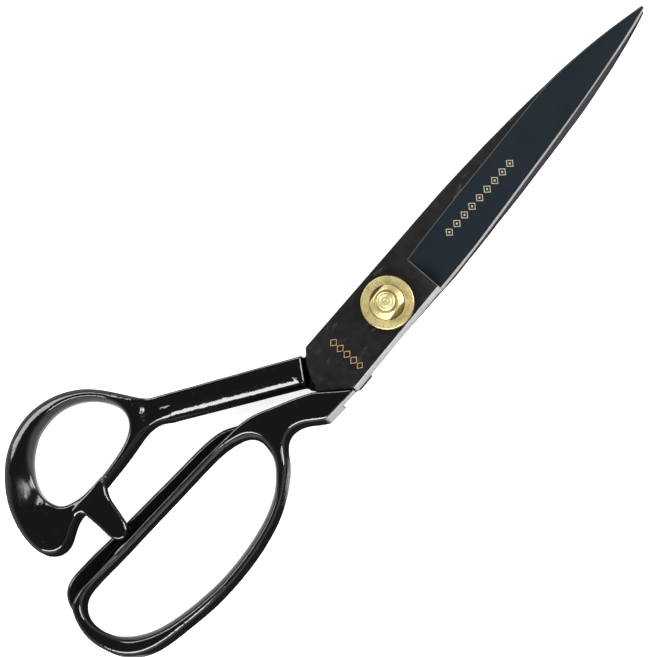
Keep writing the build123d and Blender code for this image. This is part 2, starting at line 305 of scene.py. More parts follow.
# Runs of the outside: points, then corner (width, depth), one or spaced along the run
FINGER_RUNS = [
    ([(-34.8, -0.3), (-25.6, -9.75)], (0.9, 1.0)),
    ([(-25.6, -9.75), (-38.4, -9.0)], (1.0, 1.6)),
    ([(-38.40, -9.00), (-40.44, -7.31), (-42.45, -5.43), (-44.76, -3.81), (-46.99, -3.06),
      (-49.25, -3.10), (-51.59, -4.29), (-55.34, -8.34), (-59.59, -11.67), (-64.12, -14.34),
      (-70.05, -16.82), (-77.04, -18.47), (-85.01, -19.55), (-94.00, -19.77), (-104.00, -19.07),
      (-112.51, -17.61), (-120.3, -15.9), (-126.5, -13.1), (-130.6, -8.9), (-132.8, -3.7),
      (-133.5, 1.2), (-132.9, 5.6), (-131.5, 9.3), (-129.4, 12.2), (-125.4, 13.4),
      (-120.00, 13.30), (-110.00, 12.80), (-100.00, 12.40), (-90.00, 12.00), (-80.00, 11.60),
      (-70.00, 11.10), (-61.00, 10.50), (-55.00, 9.70), (-50.53, 8.24), (-44.95, 5.40),
      (-39.13, 2.33), (-34.80, -0.30)],
     [(1.6, 3.0), (1.4, 2.8), (1.4, 2.6), (1.5, 2.4), (1.6, 2.4), (1.6, 2.4), (1.2, 2.0),
      (0.9, 1.6), (0.8, 1.5), (0.9, 1.6), (0.8, 1.8)]),
]
# Low flange along the +Y side of the ring
FLANGE = [
    (-50.0, 7.0), (-53.3, 9.8), (-56.5, 11.3), (-59.9, 13.4), (-65.0, 14.95), (-75.0, 15.9),
    (-90.0, 16.9), (-100.0, 17.55), (-107.0, 18.05), (-115.0, 18.75), (-120.0, 19.0),
    (-125.0, 18.75), (-128.0, 17.2), (-129.9, 14.6), (-130.8, 11.2), (-130.3, 8.0),
    (-120.0, 11.6), (-90.0, 10.8), (-65.0, 9.2),
]
# Line at which the lower half of the neck stops, so that the back plate has room
NECK_STOP = ((-34.7, -1.6), (-33.1, -5.2), (-29.5, -12.0))


def finger_bow():
    x, y, z = grid((-136, -23, -1.6), (-22, 21.5, 13.6))
    field = bow_bar(*polygon_distance(x, y, *outline(FINGER_RUNS)), z)
    outside_hole = -polygon_distance(x, y, spline(FINGER_HOLE, closed=True))
    # the hole's rim is fuller at its +X end and along its -Y side
    end = smooth_step(-64, -54, x)
    low = smooth_step(0, -9, y) * smooth_step(-58, -66, x)
    rim = np.stack([1.6 + 0.4 * end + 1.3 * low, 5.4 - 0.4 * end], -1)
    power = (2.0 - 0.55 * np.maximum(low, 0.8 * end))[..., None]
    field = smooth_max(field, bow_bar(outside_hole, rim, z, power), 0.5)
    flange = flat_part(polygon_distance(x, y, spline(FLANGE, closed=True)), z,
                       middle=3.5, half=2.1, width=1.3, depth=1.6)
    flange = np.maximum(flange, -(outside_hole - 0.8)[..., None])
    field = smooth_min(field, flange, 0.9)
    first, corner, last = NECK_STOP
    beyond = np.maximum(line_distance(x, y, first, corner), line_distance(x, y, corner, last))
    cut = np.minimum(beyond[..., None], (SHEAR_Z + 0.03 - z)[None, None, :])
    field = smooth_max(field, cut, 0.25)
    return surface(field + cast_lumps(x, y), x, y, z, "finger_bow_cast")


# ------------------------------------------------------------------ thumb bow
THUMB_HOLE = [
    (-80.95, 50.40), (-78.48, 47.36), (-76.82, 44.12), (-75.99, 40.97), (-76.43, 37.88),
    (-78.32, 35.24), (-81.26, 33.54), (-84.79, 32.53), (-89.59, 31.89), (-95.40, 31.52),
    (-101.04, 31.73), (-105.99, 32.92), (-109.16, 34.66), (-110.63, 37.77), (-110.83, 41.54),
    (-109.57, 45.12), (-107.36, 48.22), (-104.66, 50.94), (-101.51, 53.10), (-97.99, 54.70),
    (-94.33, 55.20), (-90.53, 55.11), (-86.96, 54.21), (-83.71, 52.59),
]
THUMB_RUNS = [
    ([(-34.4, 2.5), (-28.6, 9.5)], (0.7, 1.2)),
    ([(-28.6, 9.5), (-66.4, 35.0)], (0.7, 1.6)),
    ([(-66.4, 35.0), (-68.26, 36.53), (-70.13, 39.24), (-72.44, 43.58), (-75.67, 49.35),
      (-79.58, 54.21), (-84.32, 57.84), (-89.53, 60.16), (-95.59, 61.21), (-101.72, 60.66),
      (-108.84, 58.00), (-114.69, 53.52), (-119.33, 47.95), (-122.41, 41.79), (-124.01, 35.04),
      (-123.37, 29.23), (-120.45, 26.24), (-117.21, 25.71), (-113.80, 26.87), (-109.36, 28.61),
      (-105.6, 28.9), (-98.0, 29.1), (-93.0, 29.25), (-87.0, 29.5), (-81.0, 30.05),
      (-75.6, 30.3), (-71.5, 29.2), (-68.6, 26.65)],
     [(1.2, 2.4), (3.4, 4.0), (5.2, 4.4), (5.6, 4.4), (4.4, 4.2), (2.2, 3.6), (1.4, 3.0),
      (1.2, 2.6), (1.4, 3.0), (3.0, 3.4)]),
    ([(-68.6, 26.65), (-34.4, 2.5)], [(4.8, 4.6), (6.0, 4.8), (5.8, 4.8)]),
]
# Stop spur that reaches over the finger bow's flange
SPUR = [
    (-108.6, 30.2), (-106.9, 28.3), (-106.5, 26.0), (-106.5, 21.0), (-106.6, 17.4),
    (-105.8, 14.8), (-103.8, 13.65), (-101.5, 14.6), (-100.1, 17.4), (-98.9, 22.0),
    (-97.4, 26.6), (-96.0, 28.8), (-95.6, 30.6), (-102.0, 31.0),
]
# End of the shank that goes on under the front plate
ROOT = [(-34.3, 4.2), (-28.7, 9.3), (-25.4, 9.6), (-34.6, 1.9)]
# Hollows where the thumb lies, and where the shank leaves the ring. Each is a ball
# touching the surface at a point, faded out by its reach back and on along SHANK_WAY
# and to the sides; the fade power sets how sharply, the floor how deep it may go.
HOLLOWS = [
    dict(at=(-112.7, 46.8, 10.6), normal=(0.323, -0.233, 0.917), radius=34.0,
         reach=(6.2, 6.2, 6.2), fade=1.35, blend=0.6, floor=0.0),
    dict(at=(-72.6, 34.6, 11.25), normal=(0.309, -0.229, 0.923), radius=20.0,
         reach=(3.6, 6.6, 4.2), fade=1.6, blend=0.25, floor=10.4),
]
SHANK_WAY = (0.84, -0.54)


def hollow_out(field, x, y, z, at, normal, radius, reach, fade, blend, floor):
    centre = [a - radius * b for a, b in zip(at, normal)]
    plan = ((x - centre[0]) ** 2 + (y - centre[1]) ** 2)[..., None]
    ball = np.sqrt(plan + (z[None, None, :] - centre[2]) ** 2) - radius
    ball = smooth_min(ball, (z - floor)[None, None, :], 0.5)
    way_x, way_y = SHANK_WAY
    along = way_x * (x - at[0]) + way_y * (y - at[1])
    across = -way_y * (x - at[0]) + way_x * (y - at[1])
    back_reach, on_reach, side_reach = reach
    weight = np.exp(-((along / np.where(along > 0, on_reach, back_reach)) ** 2
                      + (across / side_reach) ** 2) ** fade)[..., None]
    return field + weight * (smooth_max(field, ball, blend) - field)


def thumb_bow():
    x, y, z = grid((-126, -1, -1.6), (-24, 63.5, 13.6))
    field = bow_bar(*polygon_distance(x, y, *outline(THUMB_RUNS)), z)
    for hollow in HOLLOWS:
        field = hollow_out(field, x, y, z, **hollow)
    outside_hole = -polygon_distance(x, y, spline(THUMB_HOLE, closed=True))
    # the hole's rim is fuller on the +Y side and shallower at the -X end
    end = smooth_step(-97, -110, x)
    high = smooth_step(38, 48, y)
    rim = np.stack([1.5 + 0.3 * high, 4.8 - 1.4 * end * (1 - high)], -1)
    power = (2.0 - 0.7 * high)[..., None]
    field = smooth_max(field, bow_bar(outside_hole, rim, z, power), 0.9)
    spur = flat_part(polygon_distance(x, y, spline(SPUR, closed=True)), z,
                     middle=8.85, half=2.6, width=1.0, depth=1.2)
    spur = np.maximum(spur, -(outside_hole - 0.6)[..., None])
    field = smooth_min(field, spur, 1.2)
    # only about the back plate's thickness goes on under the front plate
    root = flat_part(polygon_distance(x, y, np.array(ROOT)), z,
                     middle=4.25, half=2.2, width=0.3, depth=0.3)
    field = smooth_min(field, root, 0.4)
    return surface(field + cast_lumps(x, y), x, y, z, "thumb_bow_cast")


# ------------------------------------------------------------------ solids
def weld_and_shade(obj, angle):
    """Weld, drop degenerate faces and shade smooth, sharp above an angle in degrees."""
    mesh = obj.data
    bm = bmesh.new()
    bm.from_mesh(mesh)
    bmesh.ops.remove_doubles(bm, verts=bm.verts, dist=1e-7)
    bmesh.ops.dissolve_degenerate(bm, dist=1e-7, edges=bm.edges)
    bm.to_mesh(mesh)
    bm.free()
    mesh.polygons.foreach_set("use_smooth", np.ones(len(mesh.polygons), bool))
    mesh.set_sharp_from_angle(angle=math.radians(angle))
    return obj


def combine(obj, tool, operation):
    """Boolean with a tool object, applied, and the tool removed."""
    modifier = obj.modifiers.new("combine", "BOOLEAN")
    modifier.operation = operation
    modifier.solver = "MANIFOLD"
    modifier.object = tool
    depsgraph = bpy.context.evaluated_depsgraph_get()
    mesh = bpy.data.meshes.new_from_object(
        obj.evaluated_get(depsgraph), preserve_all_data_layers=True, depsgraph=depsgraph)
    obj.modifiers.clear()
    obj.data = mesh
    bpy.data.objects.remove(tool)


def rounded_polygon(corners, segments=6):
    """Round the corners, given as x, y, radius."""
    points = []
    for i, (x, y, radius) in enumerate(corners):
        here = Vector((x, y))
        to_last = Vector(corners[i - 1][:2]) - here
        to_next = Vector(corners[(i + 1) % len(corners)][:2]) - here
        last_length, next_length = to_last.length, to_next.length
        to_last.normalize()
        to_next.normalize()
        angle = to_last.angle(to_next)
        if radius <= 0 or angle > math.radians(178):
            points.append(here)
            continue
        cut = min(radius / math.tan(angle / 2), 0.45 * last_length, 0.45 * next_length)
        start, end = here + to_last * cut, here + to_next * cut
        for k in range(segments + 1):
            t = k / segments
            points.append((1 - t) ** 2 * start + 2 * t * (1 - t) * here + t * t * end)
    return points


def square(half):
    return [(half, half), (-half, half), (-half, -half), (half, -half)]


def slab(points, bottom, top, name, top_round=0, bottom_round=0,
         top_layer=OXIDE, bottom_layer=INNER, lean=0.0):
    """Closed plate over an outline; lean shifts the top of its -Y side towards +Y."""
    bm = bmesh.new()
    base = bm.faces.new([bm.verts.new(Vector((p[0], p[1], bottom)) * MM) for p in points])
    extruded = bmesh.ops.extrude_face_region(bm, geom=[base])["geom"]
    upper = [item for item in extruded if isinstance(item, bmesh.types.BMVert)]
    bmesh.ops.translate(bm, verts=upper, vec=Vector((0, 0, (top - bottom) * MM)))
    for vert in upper:
        if vert.co.y < -8.4 * MM:
            vert.co.y += lean * MM
    bmesh.ops.recalc_face_normals(bm, faces=bm.faces)
    for z, size in ((top, top_round), (bottom, bottom_round)):
        if size > 0:
            rim = [e for e in bm.edges if all(abs(v.co.z - z * MM) < 1e-7 for v in e.verts)]
            bmesh.ops.bevel(bm, geom=rim, offset=size * MM, segments=3, profile=0.5,
                            affect="EDGES")
    for face in bm.faces:
        up = face.normal.z
        face.material_index = top_layer if up > 0.95 else bottom_layer if up < -0.95 else OXIDE
    mesh = layered_mesh(name)
    bm.to_mesh(mesh)
    bm.free()
    return add_object(name, mesh)


def lathe(profile, name, segments):
    """Solid of revolution about Z from (radius, height) pairs. A profile that starts
    on the axis also ends there; any other is closed on itself."""
    bm = bmesh.new()
    rings = []
    for radius, z in profile:
        if radius < 1e-6:
            rings.append([bm.verts.new((0, 0, z * MM))])
            continue
        angles = [2 * math.pi * k / segments for k in range(segments)]
        rings.append([bm.verts.new((radius * MM * math.cos(a), radius * MM * math.sin(a), z * MM))
                      for a in angles])
    closed = profile[0][0] > 1e-6
    for i in range(len(rings) if closed else len(rings) - 1):
        a, b = rings[i], rings[(i + 1) % len(rings)]
        for k in range(segments):
            after = (k + 1) % segments
            if len(a) == 1:
                bm.faces.new((a[0], b[k], b[after]))
            elif len(b) == 1:
                bm.faces.new((a[k], a[after], b[0]))
            else:
                bm.faces.new((a[k], a[after], b[after], b[k]))
    bmesh.ops.recalc_face_normals(bm, faces=bm.faces)
    mesh = layered_mesh(name)
    bm.to_mesh(mesh)
    bm.free()
    return add_object(name, mesh)


# ------------------------------------------------------------------ blades
# Stations along x. At each: y of the spine, of the crease where the bevel starts, of
# the line where the bevel meets the ground band, and of the cutting edge; thickness.
STATION_X = [13.6, *range(20, 111, 5), 113]
STATION_THICKNESS = [
    4.48, 4.46, 4.44, 4.40, 4.32, 4.22, 4.10, 3.95, 3.78, 3.60, 3.42,
    3.24, 3.05, 2.85, 2.65, 2.45, 2.25, 2.05, 1.82, 1.60, 1.44]
FRONT_STATIONS = {
    "x": STATION_X + [115, 116.3],
    "spine": [10.12, 10.14, 10.17, 10.17, 10.18, 10.05, 9.91, 9.70, 9.56, 9.20, 8.98, 8.58,
              8.25, 7.72, 7.39, 6.77, 6.04, 5.28, 4.26, 3.24, 2.56, 2.12, 1.80],
    "bevel": [4.05, 4.60, 4.90, 5.14, 5.38, 5.60, 5.80, 5.99, 6.24, 6.48, 6.70, 6.90,
              7.10, 7.28, 6.92, 6.38, 5.70, 4.88, 4.02, 2.88, 2.16, 1.66, 1.24],
    "band": [-8.25, -8.12, -7.95, -7.77, -7.40, -7.04, -6.64, -6.24, -5.84, -5.46, -5.07, -4.66,
             -4.22, -3.78, -3.30, -2.70, -2.12, -1.46, -0.80, -0.02, 0.52, 0.90, 1.14],
    "edge": [-8.93, -8.75, -8.55, -8.24, -7.93, -7.58, -7.14, -6.71, -6.27, -5.9, -5.5, -5.07,
             -4.58, -4.07, -3.56, -3.0, -2.42, -1.88, -1.22, -0.48, 0.08, 0.48, 0.92],
    "thickness": STATION_THICKNESS + [1.32, 1.22],
}
BACK_STATIONS = {
    "x": STATION_X + [115.2],
    "spine": [-8.38, -8.57, -8.28, -8.14, -7.93, -7.60, -7.47, -7.28, -6.99, -6.68, -6.39,
              -6.11, -5.73, -5.41, -4.90, -4.23, -3.64, -2.83, -1.97, -0.95, -0.24, 0.34],
    "bevel": [-3.60, -3.75, -3.85, -3.90, -3.92, -3.94, -3.96, -3.98, -4.00, -4.02, -4.10,
              -4.20, -4.35, -4.55, -4.45, -3.95, -3.32, -2.58, -1.74, -0.62, 0.06, 0.58],
    "band": [8.55, 8.42, 8.30, 8.15, 7.90, 7.62, 7.34, 7.05, 6.72, 6.40, 6.08,
             5.74, 5.40, 4.98, 4.54, 4.05, 3.52, 2.94, 2.44, 1.98, 1.60, 1.26],
    "edge": [9.28, 9.15, 9.03, 8.88, 8.62, 8.35, 8.06, 7.76, 7.42, 7.08, 6.74,
             6.40, 6.03, 5.60, 5.15, 4.68, 4.12, 3.52, 2.95, 2.34, 1.92, 1.55],
    "thickness": STATION_THICKNESS + [1.30],
}
# Plates round the pivot: x, y, corner radius
FRONT_PLATE = [
    (13.7, 10.12, 0.5), (-25.9, 10.12, 0.7), (-27.5, 8.55, 0.3), (-29.6, 6.35, 3),
    (-31.0, 4.2, 3), (-32.0, 1.9, 2), (-32.45, 0.2, 1), (-33.9, -1.3, 0), (-25.6, -9.75, 0),
    (0.0, -9.05, 5), (13.7, -8.72, 0.3),
]
BACK_PLATE = [
    (13.7, -8.38, 0.5), (-18.6, -8.15, 0.6), (-19.6, -9.30, 0.5), (-24.6, -9.40, 0.8),
    (-27.2, -8.2, 0.5), (-29.4, -6.1, 3), (-30.9, -3.9, 3), (-32.0, -1.6, 2), (-33.6, 0.2, 1),
    (-34.6, 1.9, 0), (-25.3, 9.7, 0), (0.0, 9.25, 5), (13.7, 8.95, 0.3),
]
PLATE_OVERLAP = 1.2     # the blade shell starts this far before its first station
TIP_X = 105             # from here to the tip the sections stand closer


def blade_section(x, spine, bevel, band, edge, thickness):
    """Section as (y, height over the inner face, layer of the face that follows)."""
    side = np.sign(spine - edge)
    band_height = min(0.78, 0.45 * thickness)
    inner_round = min(0.22, 0.12 * thickness)
    outer_round = min(0.3, 0.5 * abs(spine - bevel))
    crease = 0.16
    # cutting edge, then the inner face with its hollow
    section = [(edge, 0.04, INNER)]
    hollow = 0.17 * float(smooth_step(14, 24, x) * smooth_step(112, 92, x))
    for k in np.linspace(0.02, 0.985, 15):
        depth = hollow * math.sin(math.pi * min(max((k - 0.10) / 0.78, 0), 1)) ** 1.3
        section.append((edge + (spine - edge) * k, depth, INNER))
    section[-1] = section[-1][:2] + (OXIDE,)
    # rounded spine
    for a in map(math.radians, (0, 45, 90)):
        section.append((spine - side * inner_round * (1 - math.sin(a)),
                        inner_round * (1 - math.cos(a)), OXIDE))
    for a in map(math.radians, (0, 30, 60, 90)):
        section.append((spine - side * outer_round * (1 - math.cos(a)),
                        thickness - outer_round * 0.8 * (1 - math.sin(a)), OXIDE))
    # crease, slightly bulging bevel, ground band
    # painted highlight: the narrow strip at the crease gets the light grey LINE layer, standing
    # in for light along the crease
    section.append((bevel + side * crease, thickness, LINE))
    section.append((bevel - side * crease * 0.2, thickness - 0.012, BEVEL))
    for k in (0.012, 0.03, 0.12, 0.25, 0.4, 0.55, 0.7, 0.85, 0.955):
        bulge = 0.030 * thickness * math.sin(math.pi * k)
        section.append((bevel + (band - bevel) * k,
                        thickness + (band_height - thickness) * k + bulge, BEVEL))
    section.append((band, band_height, GROUND))
    section.append((band + (edge - band) * 0.5, band_height * 0.5 + 0.03, GROUND))
    section.append((band + (edge - band) * 0.96, band_height * 0.06 + 0.04, GROUND))
    return section


def blade_shell(stations, up, name):
    """Ground part of a blade, lofted through close sections; up is 1 where the outer
    side faces +Z and -1 where it faces -Z."""
    xs = np.r_[np.linspace(stations["x"][0] - PLATE_OVERLAP, TIP_X, 150),
               np.linspace(TIP_X, stations["x"][-1], 26)[1:]]
    columns = []
    for key in ("spine", "bevel", "band", "edge", "thickness"):
        column = np.interp(xs, stations["x"], stations[key])
        for _ in range(12):      # ease the joints between stations
            column[1:-1] = (column[:-2] + 2 * column[1:-1] + column[2:]) / 4
        columns.append(column)
    face_z = SHEAR_Z + up * FACE_GAP
    sections = [blade_section(x, *row) for x, row in zip(xs, zip(*columns))]
    verts = [Vector((x, y, face_z + up * height)) * MM
             for x, section in zip(xs, sections) for y, height, _ in section]
    size = len(sections[0])
    faces, layers = [], []
    for start in range(0, (len(xs) - 1) * size, size):
        for q in range(size):
            a, b = start + q, start + (q + 1) % size
            faces.append((a, b, b + size, a + size))
            layers.append(sections[0][q][2])
    for start in (0, (len(xs) - 1) * size):
        faces.append(tuple(range(start, start + size)))
        layers.append(OXIDE)
    mesh = layered_mesh(name)
    mesh.from_pydata(verts, [], faces)
    mesh.polygons.foreach_set("material_index", np.array(layers, np.int32))
    bm = bmesh.new()
    bm.from_mesh(mesh)
    bmesh.ops.recalc_face_normals(bm, faces=bm.faces)
    bm.to_mesh(mesh)
    bm.free()
    return add_object(name, mesh)


def front_blade():
    obj = blade_shell(FRONT_STATIONS, 1, "front_blade_forged")
    plate = slab(rounded_polygon(FRONT_PLATE), SHEAR_Z + FACE_GAP, FRONT_PLATE_TOP, "plate",
                 top_round=0.24, bottom_round=0.1, lean=0.62)
    combine(obj, plate, "UNION")
    bore = lathe([(0, 0), (BORE_RADIUS, 0), (BORE_RADIUS, 20), (0, 20)], "bore", segments=96)
    combine(obj, bore, "DIFFERENCE")
    # very shallow round seat under the pivot disc
    seat = lathe([(0, 10.94), (9.2, 10.94), (9.25, 12), (0, 12)], "seat", segments=144)
    combine(obj, seat, "DIFFERENCE")
    for face in obj.data.polygons:
        if face.material_index != OXIDE:
            continue
        centre = face.center / MM
        if face.normal.y < -0.55 and centre.y < -7.9 and centre.x < 13.75:
            face.material_index = STRIP      # -Y side of the plate
        # painted highlight: the step's faces get the light grey LINE layer, standing in for light
        # on that edge
        elif face.normal.x > 0.25 and 13.2 < centre.x < 13.8:
            face.material_index = LINE       # step from the plate down to the blade
    return weld_and_shade(obj, 32)


def back_blade():
    obj = blade_shell(BACK_STATIONS, -1, "back_blade_forged")
    plate = slab(rounded_polygon(BACK_PLATE), BACK_PLATE_BOTTOM, SHEAR_Z - FACE_GAP, "plate",
                 top_round=0.1, bottom_round=0.28, top_layer=INNER, bottom_layer=OXIDE)
    combine(obj, plate, "UNION")
    combine(obj, slab(square(SQUARE_HOLE_HALF), 0.5, 8.0, "square_hole"), "DIFFERENCE")
    return weld_and_shade(obj, 32)


# ------------------------------------------------------------------ pivot
def arc(radius, z, size, start, end, count):
    """Points of a profile arc round (radius, z), angles in degrees."""
    return [(radius + size * math.cos(math.radians(a)), z + size * math.sin(math.radians(a)))
            for a in np.linspace(start, end, count)]


def pivot_disc():
    """Disc under the nut, with a sunk middle."""
    bottom, top = 10.95, 12.55
    profile = [
        (2.99, bottom), (7.9, bottom), (8.05, bottom + 0.12),
        *arc(7.72, top - 0.33, 0.33, 0, 90, 6),
        (7.2, top - 0.02), (5.62, top - 0.01),
        *arc(5.5, top - 0.13, 0.12, 90, 180, 3),
        (5.35, top - 0.62),
        *arc(5.17, top - 0.62, 0.18, 0, -90, 3),
        (3.1, top - 0.8), (2.99, top - 0.88)]
    return weld_and_shade(lathe(profile, "pivot_disc_turned", segments=176), 34)


def pivot_nut():
    """Round nut with a coned top and two flats, turned a little off the X axis."""
    bottom, top = 11.76, 14.76
    profile = [
        (2.96, bottom), (5.05, bottom), (5.2, bottom + 0.12), (5.2, 13.32),
        *arc(5.02, 13.34, 0.18, 5, 46, 4),
        (3.80, top - 0.16),
        *arc(3.62, top - 0.2, 0.2, 45, 90, 4),
        (3.32, top), (3.12, top - 0.08), (2.96, top - 0.24)]
    obj = lathe(profile, "pivot_nut_turned", segments=176)
    flat_half, reach, flat_bottom = 3.9, 9, 12.25
    cos, sin = math.cos(math.radians(2.0)), math.sin(math.radians(2.0))
    for side in (1, -1):
        corners = [(x * cos - y * sin, x * sin + y * cos)
                   for x, y in ((-reach, side * flat_half), (reach, side * flat_half),
                                (reach, side * reach), (-reach, side * reach))]
        combine(obj, slab(corners, flat_bottom, 16.0, "flat"), "DIFFERENCE")
    return weld_and_shade(obj, 30)


def pivot_bolt():
    thread = BOLT_THREAD_RADIUS
    profile = [
        # head under the back plate, core of the square, journal
        (0, 0.0), (6.3, 0.0), (6.7, 0.1), (7.0, 0.42), (7.0, 1.75), (6.85, 1.98),
        (3.72, 2.0), (3.72, 6.45), (4.0, 6.52), (4.0, 10.65), (thread, 10.8), (thread, 13.6)]
    for crest in (14.2, 14.7):
        profile += [(2.66, crest - 0.25), (thread, crest)]
    profile += [
        # domed end with a groove and a raised middle
        (2.86, 15.2), (2.80, 15.38), (2.66, 15.56), (2.44, 15.66), (2.2, 15.69), (1.98, 15.66),
        (1.84, 15.62), (1.7, 15.66), (1.55, 15.76), (1.3, 15.82), (1.05, 15.80), (0.86, 15.75),
        (0.72, 15.78), (0.5, 15.87), (0.25, 15.9), (0, 15.9)]
    obj = lathe(profile, "pivot_bolt_turned", segments=144)
    key = rounded_polygon([(x, y, 0.4) for x, y in square(KEY_HALF)], segments=3)
    combine(obj, slab(key, 1.9, 6.38, "key"), "UNION")
    return weld_and_shade(obj, 30)


finger_ring = finger_bow()
thumb_ring = thumb_bow()
blade_front = front_blade()
blade_back = back_blade()
disc = pivot_disc()
nut = pivot_nut()
bolt = pivot_bolt()
for obj, node, body, slot in (
        (finger_ring, "finger_bow", "front_half", "black_enamel"),
        (thumb_ring, "thumb_bow", "back_half", "black_enamel"),
        (blade_front, "front_blade", "front_half", "blade_steel"),
        (blade_back, "back_blade", "back_half", "blade_steel"),
        (disc, "pivot_disc", "back_half", "brass"),
        (nut, "pivot_nut", "nut", "brass"),
        (bolt, "pivot_bolt", "back_half", "brass")):
    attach(obj, body)
    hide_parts(node)


# ------------------------------------------------------------------ shader helpers
class Shader:
    """Builds nodes in a tree; any value may be a number, a colour or a socket."""

    def __init__(self, tree):
        self.tree = tree

    def put(self, node, key, value):
        if isinstance(value, bpy.types.NodeSocket):
            self.tree.links.new(value, node.inputs[key])
        else:
            node.inputs[key].default_value = value

    def node(self, kind, inputs=None, **settings):
        node = self.tree.nodes.new("ShaderNode" + kind)
        for key, value in settings.items():
            setattr(node, key, value)
        for key, value in (inputs or {}).items():
            self.put(node, key, value)
        return node

    def position(self, scale=(1, 1, 1), turn=(0, 0, 0)):
        source = self.node("TexCoord").outputs["Object"]
        inputs = {"Vector": source, "Scale": scale, "Rotation": turn}
        return self.node("Mapping", inputs).outputs["Vector"]

    def xyz(self, vector):
        return self.node("SeparateXYZ", {0: vector}).outputs

    def noise(self, vector, scale, detail, rough, distortion=0.0):
        return self.node("TexNoise", {
            "Vector": vector, "Scale": scale, "Detail": detail, "Roughness": rough,
            "Distortion": distortion}).outputs["Fac"]

    def ramp(self, factor, *stops):
        """Stops are (position, grey or colour)."""
        node = self.node("ValToRGB", {"Fac": factor})
        elements = node.color_ramp.elements
        while len(elements) < len(stops):
            elements.new(0.5)
        for element, (position, colour) in zip(elements, stops):
            element.position = position
            element.color = (*colour, 1) if isinstance(colour, tuple) else (colour,) * 3 + (1,)
        return node.outputs["Color"]

    def patches(self, vector, start, end, **noise):
        """Noise turned into spots: 0 below start, 1 above end."""
        return self.ramp(self.noise(vector, **noise), (start, 0.0), (end, 1.0))

    def math(self, operation, a, b=None, clamp=False):
        inputs = {0: a} if b is None else {0: a, 1: b}
        return self.node("Math", inputs, operation=operation, use_clamp=clamp).outputs[0]

    def rise(self, value, start, slope):
        """0 up to start, then rising to 1."""
        return self.math("MULTIPLY", self.math("SUBTRACT", value, start), slope, clamp=True)

    def fall(self, value, end, slope):
        """Falling from 1 to 0 at the end."""
        return self.math("MULTIPLY", self.math("SUBTRACT", end, value), slope, clamp=True)

    def line(self, value, at, slope):
        """1 where the value equals at, falling to 0 on both sides."""
        off = self.math("ABSOLUTE", self.math("SUBTRACT", value, at))
        off = self.math("MULTIPLY", off, slope, clamp=True)
        return self.math("SUBTRACT", 1.0, off, clamp=True)

    def radius(self, x, y):
        squares = [self.math("POWER", value, 2.0) for value in (x, y)]
        return self.math("SQRT", self.math("ADD", *squares))

    def lozenge(self, x, y, half_x, half_y):
        """0 in the middle of a lozenge and 1 on its outline."""
        parts = [self.math("DIVIDE", self.math("ABSOLUTE", value), half)
                 for value, half in ((x, half_x), (y, half_y))]
        return self.math("ADD", *parts)

    def drawn_line(self, value, at, slope):
        """A line with a full-strength core."""
        return self.math("MULTIPLY", self.line(value, at, slope), 2.2, clamp=True)

    def mix(self, factor, a, b):
        a, b = ((*value, 1) if isinstance(value, tuple) else value for value in (a, b))
        return self.node("Mix", {0: factor, 6: a, 7: b}, data_type="RGBA").outputs[2]

    def bump(self, height, strength, distance, normal=None):
        inputs = {"Strength": strength, "Distance": distance, "Height": height}
        if normal is not None:
            inputs["Normal"] = normal
        return self.node("Bump", inputs).outputs["Normal"]


class Principled(Shader):
    def __init__(self, name):
        self.material = bpy.data.materials.new(name)
        self.material.use_nodes = True
        super().__init__(self.material.node_tree)

    def finish(self, **inputs):
        for key, value in inputs.items():
            self.put(self.tree.nodes["Principled BSDF"], key.replace("_", " "), value)
        return self.material


# ------------------------------------------------------------------ materials, in metres
def enamel(name, bare_neck=False):
    """Glossy black enamel; on the finger bow the -Y flank of the neck is bare."""
    s = Principled(name)
    p = s.position()
    # orange peel, from broad waves to fine grain
    peel = s.noise(p, scale=420, detail=3.0, rough=0.5)
    broad = s.noise(p, scale=95, detail=2.0, rough=0.5)
    fine = s.noise(p, scale=1150, detail=2.0, rough=0.5)
    height = s.math("ADD", s.math("MULTIPLY", peel, 0.30), broad)
    height = s.math("ADD", height, s.math("MULTIPLY", fine, 0.085))
    normal = s.bump(height, strength=0.34, distance=0.00035)
    pits = s.patches(p, start=0.70, end=0.77, scale=1300, detail=1.0, rough=0.5)
    normal = s.bump(pits, strength=0.25, distance=0.00008, normal=normal)
    # ripples, only in some places
    ripples = s.noise(s.position((1, 1, 0.6), (0, 0, 0.7)), scale=760, detail=2.0, rough=0.5)
    places = s.patches(p, start=0.50, end=0.60, scale=75, detail=2.0, rough=0.5)
    normal = s.bump(s.math("MULTIPLY", ripples, places), strength=0.55, distance=0.00022,
                    normal=normal)
    rough = s.ramp(s.noise(p, scale=160, detail=4, rough=0.6), (0.3, 0.05), (0.7, 0.11))
    # duller spot in the thumb's hollow
    thumb_spot = (-0.1129, 0.0468, 0.0109)
    away = s.node("VectorMath", {0: p, 1: thumb_spot}, operation="DISTANCE").outputs["Value"]
    rough = s.mix(s.fall(away, end=0.0065, slope=400.0), rough, (0.20, 0.20, 0.20))
    specks = s.patches(p, start=0.68, end=0.76, scale=900, detail=2, rough=0.6)
    colour = s.mix(s.math("MULTIPLY", specks, 0.35),
                   (0.0021, 0.0022, 0.0025), (0.018, 0.018, 0.019))
    if bare_neck:
        facing = s.xyz(s.node("NewGeometry").outputs["Normal"])
        place = s.xyz(p)
        side = s.rise(s.math("MULTIPLY", facing[1], -1.0), start=0.80, slope=9.0)
        near_plate = s.math("ADD", place[0], 0.0385)
        near_plate = s.math("MULTIPLY", near_plate, 900.0, clamp=True)
        low = s.rise(s.math("MULTIPLY", place[1], -1.0), start=0.0083, slope=3000.0)
        bare = s.math("MULTIPLY", s.math("MULTIPLY", side, near_plate), low)
        colour = s.mix(bare, colour, (0.150, 0.153, 0.155))
        rough = s.mix(bare, rough, (0.5, 0.5, 0.5))
    return s.finish(Base_Color=colour, Roughness=rough, Normal=normal, Specular_IOR_Level=0.42)


